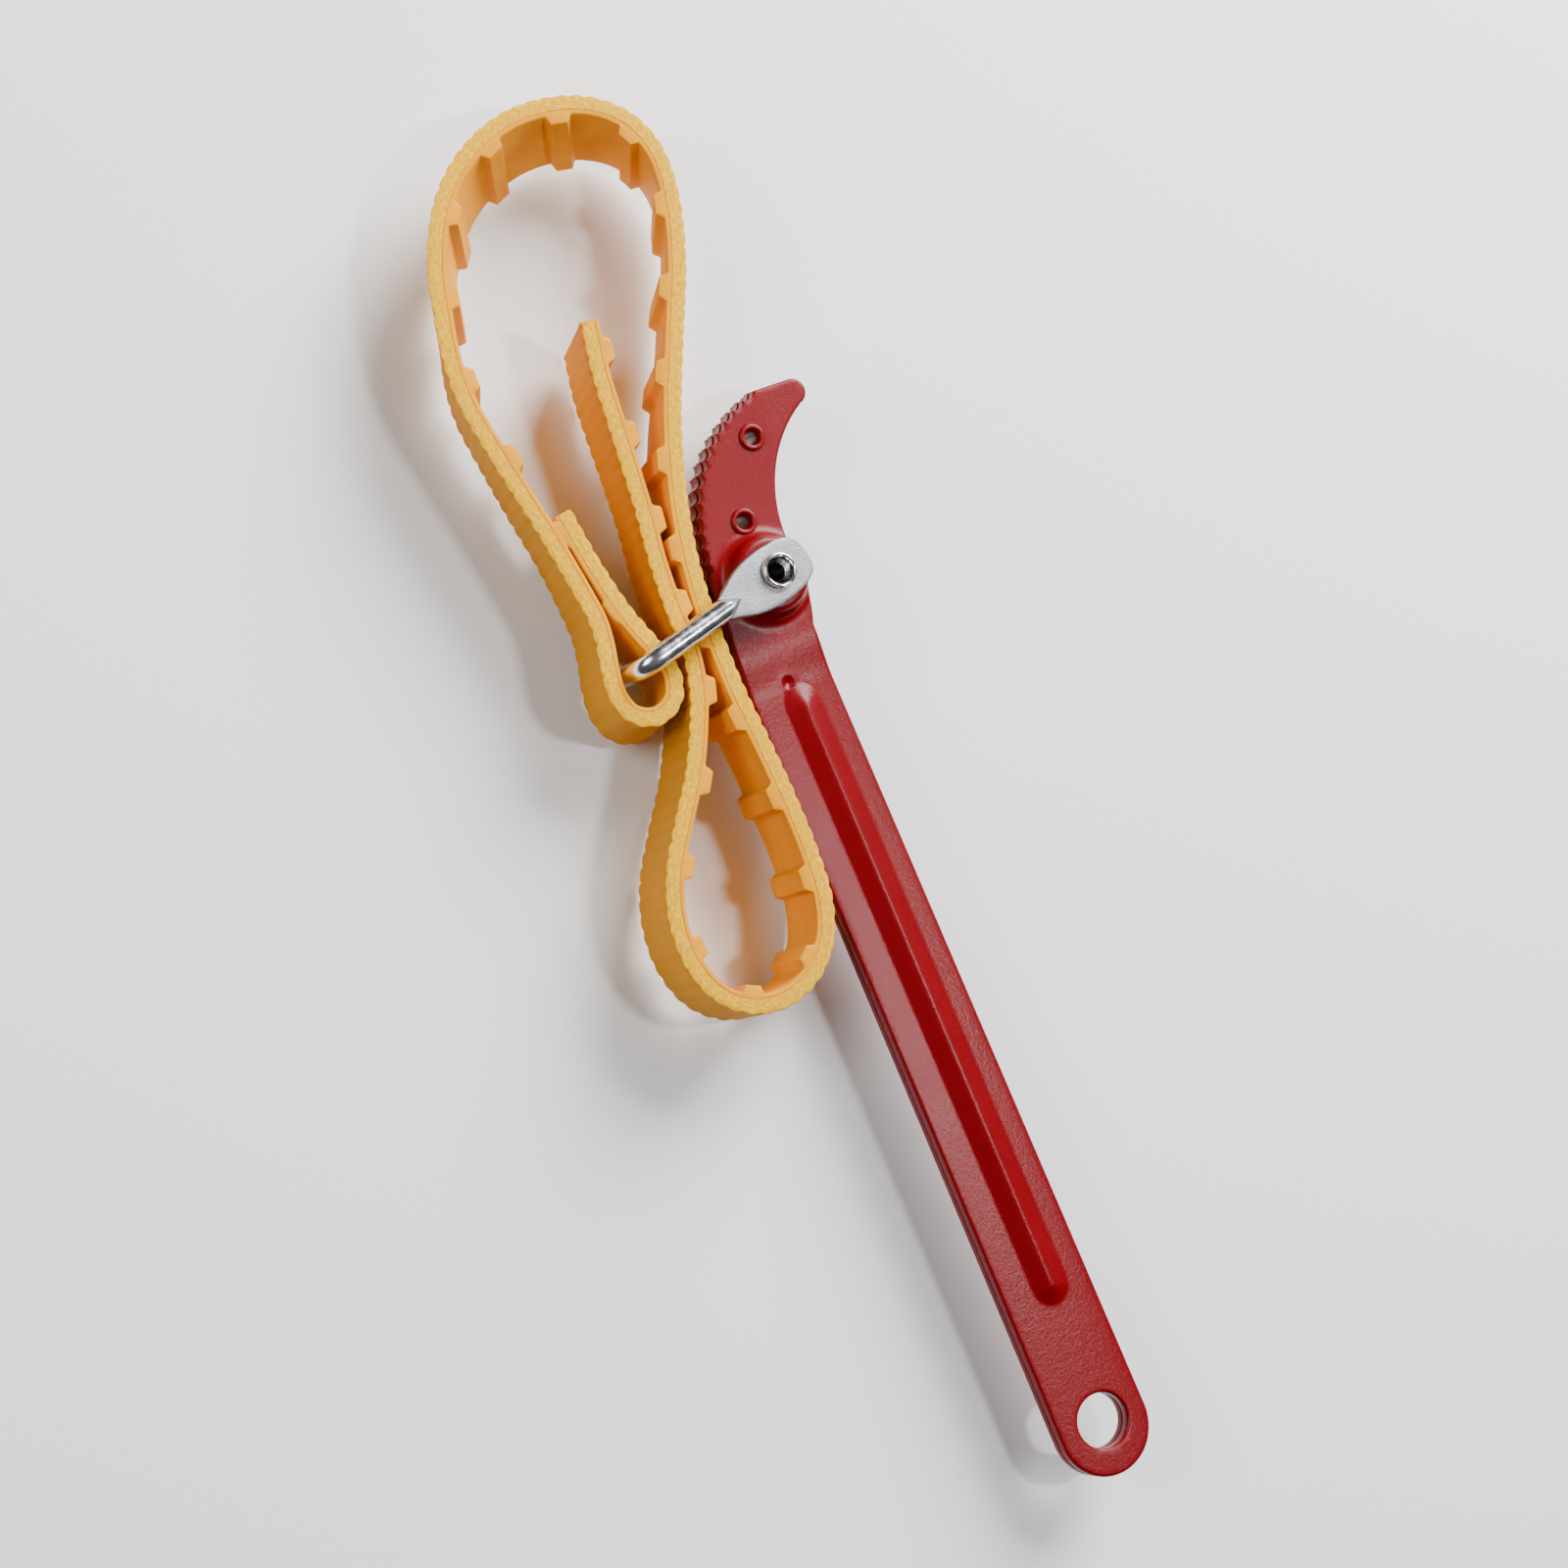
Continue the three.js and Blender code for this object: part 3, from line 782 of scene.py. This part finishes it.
def make_horn_rivets(coat, dull):
    """Painted outside, bare steel deep in the bore."""
    bore_limit, depth = 2.0, 0.3
    profile = rolled_rivet(seat=HORN_TOP + 0.05, **HORN_RIVET_SIZES)
    for name, (x, y) in HORN_RIVETS.items():
        points, faces = turned(profile, 56)
        radius, height = face_reach(points, faces)
        looks = ((radius < bore_limit) & (height < HORN_TOP - depth)).astype(int)
        points = points + np.array([x, y, 0])
        link_piece(
            f"{name}_coated", points, faces, [coat, dull], "handle", name, looks
        )


def make_pivot_pin(bright, dull):
    """The bright rivet: dull deep in its bore, with six shallow swaging lobes in each mouth."""
    seat = ARM_Z + 0.15
    bore_limit, depth = 3.3, 1.4
    points, faces = turned(rolled_rivet(seat=seat, **PIVOT_RIVET_SIZES), 96)
    radius, height = face_reach(points, faces)
    looks = ((height < seat - depth) & (radius < bore_limit)).astype(int)
    mouth_radius, mouth_depth, lobe_share = 4.0, 2.0, 0.03
    angle = np.arctan2(points[:, 1], points[:, 0])
    mouth = np.hypot(points[:, 0], points[:, 1]) < mouth_radius
    mouth &= np.abs(points[:, 2]) > seat - mouth_depth
    scale = 1 + np.where(mouth, lobe_share * np.abs(np.cos(3 * angle)), 0.0)
    points[:, :2] *= scale[:, None]
    points = points + np.array([PIVOT_X, 0, 0])
    link_piece(
        "pivot_rivet", points, faces, [bright, dull], "handle", "pivot_pin", looks
    )


# Shackle ----------------------------------------------------------------------------------------

# Half-widths of the flattened eye by distance from the pivot towards the bar
EYE_STATIONS = [-9.5, -9.4, -9.0, -8.2, -7.0, -5.0, -1.0, 5.0, 11.0, 15.5, 18.3, 19.5]
EYE_HALF_WIDTHS = [0.6, 2.6, 4.2, 5.3, 6.1, 6.9, 7.4, 7.4, 6.2, 4.3, 3.05, 3.0]
EYE_TO_ROD = (14.0, 19.0)
EYE_BLUNTNESS = 9.0
ROD_BLUNTNESS = 2.0
# The step from the eye's flat face up to the rod, pointed towards the pivot
ARROW_TIP = 13.0
ARROW_RISE = 1.15
ARROW_SPREAD = 1.77
POLISHED_FROM = 18.6  # the steel is polished all round beyond this distance


def eye_half_width(u):
    """A smooth curve through the eye's half-widths, from its blunt end to the rod."""
    stations, widths = np.array(EYE_STATIONS), np.array(EYE_HALF_WIDTHS)
    slope = np.gradient(widths, stations)
    i = int(np.clip(np.searchsorted(stations, u) - 1, 0, len(stations) - 2))
    gap = stations[i + 1] - stations[i]
    t = np.clip((u - stations[i]) / gap, 0, 1)
    a, b = widths[i], widths[i + 1]
    start = (1 + 2 * t) * (1 - t) ** 2 * a + t * (1 - t) ** 2 * gap * slope[i]
    return float(start + t * t * (3 - 2 * t) * b + t * t * (t - 1) * gap * slope[i + 1])


def shackle_section(u):
    """A ring round the steel at a distance u from the pivot: across, out of the U, and polished."""
    rod = float(smooth(*EYE_TO_ROD, u))
    half_width = eye_half_width(u) if u < EYE_STATIONS[-1] else ROD_RADIUS
    blunt = EYE_BLUNTNESS + (ROD_BLUNTNESS - EYE_BLUNTNESS) * rod
    side = -EYE_THICKNESS / 2 * (1 - rod)
    turn = np.linspace(0, 2 * math.pi, 64, endpoint=False)
    across = half_width * np.cos(turn)
    bulge = (1 - np.abs(np.cos(turn)) ** blunt).clip(0) ** (1 / blunt)
    over = np.sin(turn) >= 0
    out = np.where(over, side - side * bulge, side - (side + ROD_RADIUS) * bulge)
    dome = np.sqrt((ROD_RADIUS**2 - across**2).clip(0))
    limit = ARROW_RISE * (u - ARROW_TIP - ARROW_SPREAD * np.abs(across))
    raised = np.minimum(dome, limit)
    out = np.where(over & (raised > out), raised, out)
    polished = (over & (raised > out - 1e-6) & (dome <= limit)) | (u > POLISHED_FROM)
    return across, out, polished


def make_shackle(bright, matte):
    """Rings swept along one arm, round the bend to the bar's middle, and mirrored for the rest.

    A stop is a place (u, z) on the steel's line, the direction out of the U there, and the
    distance that gives the section.
    """
    corner = SHACKLE_LENGTH - BEND_RADIUS
    arm = np.unique(np.r_[
        np.linspace(-9.5, -8.0, 9),
        np.linspace(-8, 12, 34),
        np.linspace(12, 20, 65),
        np.linspace(20, corner, 30),
    ])
    stops = [(u, ARM_Z, 0.0, 1.0, u) for u in arm]
    for a in np.radians(np.linspace(0, 90, 15))[1:]:
        u, z = corner + BEND_RADIUS * math.sin(a), ARM_Z - BEND_RADIUS * (1 - math.cos(a))
        stops.append((u, z, math.sin(a), math.cos(a), u))
    bar = np.linspace(7.5, 0, 6)
    stops += [(SHACKLE_LENGTH, z, 1.0, 0.0, SHACKLE_LENGTH) for z in bar]
    stops += [(u, -z, nu, -nz, s) for u, z, nu, nz, s in stops[-2::-1]]
    points, shine = [], []
    for u, z, out_u, out_z, station in stops:
        across, out, polished = shackle_section(station)
        points.append(np.c_[u + out * out_u, across, z + out * out_z])
        shine.append(polished)
    count = len(shine[0])
    faces, looks = [], []
    for i in range(len(points) - 1):
        faces.append(wall(i * count, (i + 1) * count, count))
        both = shine[i] & np.roll(shine[i], -1) & shine[i + 1]
        looks.append(np.where(both, 0, 1))
    faces = [tuple(face) for group in faces for face in group]
    looks = list(np.concatenate(looks)) + [1, 1]
    last = (len(points) - 1) * count
    faces += [tuple(range(count - 1, -1, -1)), tuple(range(last, last + count))]
    points = np.concatenate(points)
    turn = math.radians(SHACKLE_ANGLE)
    x = points[:, 0] * math.cos(turn) - points[:, 1] * math.sin(turn) + PIVOT_X
    y = points[:, 0] * math.sin(turn) + points[:, 1] * math.cos(turn)
    points = np.c_[x, y, points[:, 2]]
    shackle = link_piece(
        "bent_rod_shackle", points, faces, [bright, matte], "shackle", "shackle",
        looks, sharp=33.0,
    )
    pierce(shackle)


def pierce(shackle):
    """Cuts the round hole through both eyes."""
    axis, reach = 0.01, 20.0
    profile = [(axis, -reach), (EYE_HOLE, -reach), (EYE_HOLE, reach), (axis, reach)]
    points, faces = turned(profile, 64)
    points = (points + np.array([PIVOT_X, 0, 0])) * MM + np.array(ORIGIN)
    mesh = bpy.data.meshes.new("eye_cutter")
    mesh.from_pydata(points.tolist(), [], [tuple(int(i) for i in face) for face in faces])
    cutter = bpy.data.objects.new("eye_cutter", mesh)
    bpy.context.scene.collection.objects.link(cutter)
    cut = shackle.modifiers.new("pierce", "BOOLEAN")
    cut.operation = "DIFFERENCE"
    cut.solver = "EXACT"
    cut.object = cutter
    bpy.context.view_layer.update()
    done = shackle.evaluated_get(bpy.context.evaluated_depsgraph_get())
    pierced = bpy.data.meshes.new_from_object(done)
    shackle.modifiers.clear()
    shackle.data = pierced
    bpy.data.objects.remove(cutter)


# Belt -------------------------------------------------------------------------------------------

# The belt's centre line on its upper edge, from its folded end, as in the CAD model
STRAP_ROUTE = [
    (-42.8, 34.3), (-41.0, 20.0), (-38.2, 6.0), (-35.6, -2.0), (-33.2, -8.6),
    (-32.4, -14.4), (-34.8, -20.0), (-40.4, -22.4), (-46.0, -20.0), (-48.3, -14.4),
    (-47.8, -8.0), (-46.0, 0.0), (-45.4, 6.0), (-46.2, 14.0), (-48.8, 32.0),
    (-52.4, 52.0), (-54.8, 69.0), (-54.2, 80.0), (-51.6, 92.0), (-48.0, 104.0),
    (-42.8, 114.0), (-36.6, 121.6), (-29.4, 127.2), (-21.0, 131.2), (-12.0, 133.2),
    (-3.0, 133.0), (5.0, 131.2), (12.2, 127.4), (17.4, 122.0), (20.2, 115.0),
    (20.6, 108.0), (18.8, 98.0), (13.8, 84.0), (5.6, 67.6), (-4.0, 48.0),
    (-10.8, 30.0), (-15.0, 14.0), (-16.8, 2.0), (-17.6, -10.0), (-17.8, -24.0),
    (-17.0, -38.0), (-16.4, -54.0), (-16.6, -70.0), (-18.0, -82.0), (-21.6, -91.0),
    (-28.0, -97.6), (-37.0, -101.0), (-47.0, -99.4), (-54.4, -93.0), (-57.8, -83.0),
    (-57.2, -72.0), (-53.0, -61.0), (-45.4, -50.0), (-37.4, -39.4), (-31.4, -29.0),
    (-27.4, -20.0), (-25.2, -10.0), (-24.9, 2.0), (-24.0, 14.0), (-22.2, 26.0),
    (-20.6, 40.0), (-19.4, 52.0), (-18.0, 65.0), (-15.4, 77.6),
]

# How far the lower edge lies off the upper one, by share of the belt's length
LEAN_SHARES = [0, 0.05, 0.11, 0.17, 0.22, 0.28, 0.34, 0.4, 0.46, 0.54, 0.6, 0.84, 0.92, 1]
LEAN_X = [3, 1.2, 0.7, 3.4, 5, 6, 5.6, 4.4, 3, 1, 0, 0, 1.8, 0.4]
LEAN_Y = [-2, -2, -2, -2, -4, -8, -8.2, -7.6, -4, -1, 0, 0, -1.6, -4.6]


def centripetal(points, per_span=24):
    """A centripetal Catmull-Rom curve through points, as a fine polyline."""
    p = np.array(points, float)
    p = np.vstack([2 * p[0] - p[1], p, 2 * p[-1] - p[-2]])
    line = []
    for i in range(1, len(p) - 2):
        a, b, c, d = p[i - 1], p[i], p[i + 1], p[i + 2]
        ab, bc, cd = (math.sqrt(math.dist(*pair)) for pair in ((a, b), (b, c), (c, d)))
        out = ((b - a) / ab - (c - a) / (ab + bc) + (c - b) / bc) * bc
        into = ((c - b) / bc - (d - b) / (bc + cd) + (d - c) / cd) * bc
        for t in np.linspace(0, 1, per_span, endpoint=False):
            bend = (2 * b - 2 * c + out + into) * t**3
            line.append(bend + (-3 * b + 3 * c - 2 * out - into) * t**2 + out * t + b)
    line.append(p[-2])
    return np.array(line)


def belt_line(step):
    """Evenly spaced points on the belt's line, their directions and their distances along it."""
    line = centripetal(STRAP_ROUTE)
    run = np.r_[0, np.cumsum(np.hypot(*np.diff(line, axis=0).T))]
    along = np.linspace(0, run[-1], int(run[-1] / step))
    at = np.c_[np.interp(along, run, line[:, 0]), np.interp(along, run, line[:, 1])]
    direction = np.gradient(at, along, axis=0)
    width = 5
    kernel = np.ones(width) / width
    padded = np.pad(direction, ((width // 2, width // 2), (0, 0)), "edge")
    direction = np.column_stack([np.convolve(part, kernel, "valid") for part in padded.T])
    return at, direction / np.hypot(*direction.T)[:, None], along


def lean(share):
    """How far the lower edge lies off the upper one in x and y, easing from key to key."""
    i = np.clip(np.searchsorted(LEAN_SHARES, share) - 1, 0, len(LEAN_SHARES) - 2)
    keys = np.array(LEAN_SHARES)
    ease = smooth(0, 1, (share - keys[i]) / (keys[i + 1] - keys[i]))
    lean_x, lean_y = np.array(LEAN_X), np.array(LEAN_Y)
    return (
        lean_x[i] + (lean_x[i + 1] - lean_x[i]) * ease,
        lean_y[i] + (lean_y[i + 1] - lean_y[i]) * ease,
    )


def lug_height(along):
    """Blunt lugs at an even pitch, flattened at the folded end, none on the rest of the fold."""
    off = (along - LUG_FIRST + LUG_PITCH / 2) % LUG_PITCH - LUG_PITCH / 2
    side = (LUG_BASE / 2 - np.abs(off)) / ((LUG_BASE - LUG_CREST) / 2)
    free = smooth(*FREE_LUGS_START, along)
    folded = FLATTENED * (1 - smooth(*FOLD_LUGS_END, along))
    return LUG_HEIGHT * smooth(0, 1, side) * np.maximum(free, folded)


def back_rib_height(along):
    """The fine ribs across the belt's back."""
    return BACK_RIB_HEIGHT * np.abs(np.sin(math.pi * along / BACK_RIB_PITCH)) ** 0.7


WOVEN, MOULDED, TWILL = 0, 1, 2


def belt_section(back, front):
    """One ring round the belt: (offset towards the back, depth below the top edge, look).

    The back ribs stand highest at the belt's edges and are shallow between them.
    """
    calm = STRAP_HALF - CALM_DEPTH + CALM_SHARE * (back - STRAP_HALF + CALM_DEPTH)
    soft = 0.4
    near = [
        (back, soft, WOVEN), (back - 0.12, 0.12, WOVEN), (back - soft, 0.0, WOVEN),
        (0.9, 0.0, WOVEN), (-0.4, 0.0, WOVEN), (-1.25, 0.0, WOVEN), (-1.42, 0.22, MOULDED),
        (-1.6, 0.02, MOULDED), (-front + soft, 0.0, MOULDED), (-front + 0.12, 0.12, MOULDED),
        (-front, soft, MOULDED),
    ]
    deep = STRAP_WIDTH
    lug_face = [(-front, deep / 3, MOULDED), (-front, 2 * deep / 3, MOULDED)]
    # A look belongs to the face after its point, so on the way back each takes the next one's
    mirrored = near[::-1]
    looks = [look for _, _, look in mirrored[1:]] + [TWILL]
    far = [(offset, deep - depth, look) for (offset, depth, _), look in zip(mirrored, looks)]
    rear = [
        (back - 0.02, deep - 1.6, TWILL), (calm, 0.8 * deep, TWILL), (calm, deep / 2, TWILL),
        (calm, 0.2 * deep, TWILL), (back - 0.02, 1.6, TWILL),
    ]
    return near + lug_face + far + rear


def make_strap(materials):
    """Sweeps the belt's section along its line, with UVs in metres along and round it."""
    at, direction, along = belt_line(0.5)
    lean_x, lean_y = lean(along / along[-1])
    back = STRAP_HALF - BACK_INSET - BACK_RIB_HEIGHT + back_rib_height(along)
    front = STRAP_HALF + lug_height(along)
    normal = np.c_[-direction[:, 1], direction[:, 0]]
    rings = [belt_section(*sides) for sides in zip(back, front)]
    points = []
    for i, ring in enumerate(rings):
        offset, depth = np.array([spot[:2] for spot in ring]).T
        down = depth / STRAP_WIDTH
        x = at[i, 0] + normal[i, 0] * offset + lean_x[i] * down
        y = at[i, 1] + normal[i, 1] * offset + lean_y[i] * down
        points.append(np.c_[x, y, STRAP_WIDTH / 2 - depth])

    count = len(rings[0])
    last = (len(rings) - 1) * count
    faces = [wall(i * count, (i + 1) * count, count) for i in range(len(rings) - 1)]
    faces = [tuple(face) for group in faces for face in group]
    faces += [tuple(range(count - 1, -1, -1)), tuple(range(last, last + count))]
    looks = [look for _, _, look in rings[0]] * (len(rings) - 1) + [WOVEN, WOVEN]

    first_ring = np.array([spot[:2] for spot in rings[0]])
    steps = np.hypot(*np.diff(first_ring, axis=0).T)
    around = np.r_[0, np.cumsum(steps), steps.sum() + STRAP_WIDTH / 3] * MM
    uv = []
    for here, after in zip(along[:-1] * MM, along[1:] * MM):
        for low, high in zip(around[:-1], around[1:]):
            uv.append([(here, low), (here, high), (after, high), (after, low)])
    uv.append([(offset * MM, depth * MM) for offset, depth, _ in rings[0]][::-1])
    uv.append([(offset * MM, depth * MM) for offset, depth, _ in rings[-1]])
    link_piece(
        "ribbed_belt", np.concatenate(points), faces, materials, "strap", "strap",
        looks, uv=[np.array(loop) for loop in uv],
    )


# Assembly ---------------------------------------------------------------------------------------

make_camera()
make_lights()
make_floor()

red_coat = powder_coat()
bright_chrome = chrome()
grey_steel = pressed_steel()
dull_steel = turned_steel()

make_plates(red_coat)
make_jaw(red_coat)
make_horn_rivets(red_coat, dull_steel)
make_pivot_pin(bright_chrome, dull_steel)
make_shackle(bright_chrome, grey_steel)
make_strap([belt_edge(), belt_rubber(), belt_back()])

spacer = frame["nodes"]["pivot_spacer"]
spacer.data.materials.clear()
spacer.data.materials.append(dull_steel)
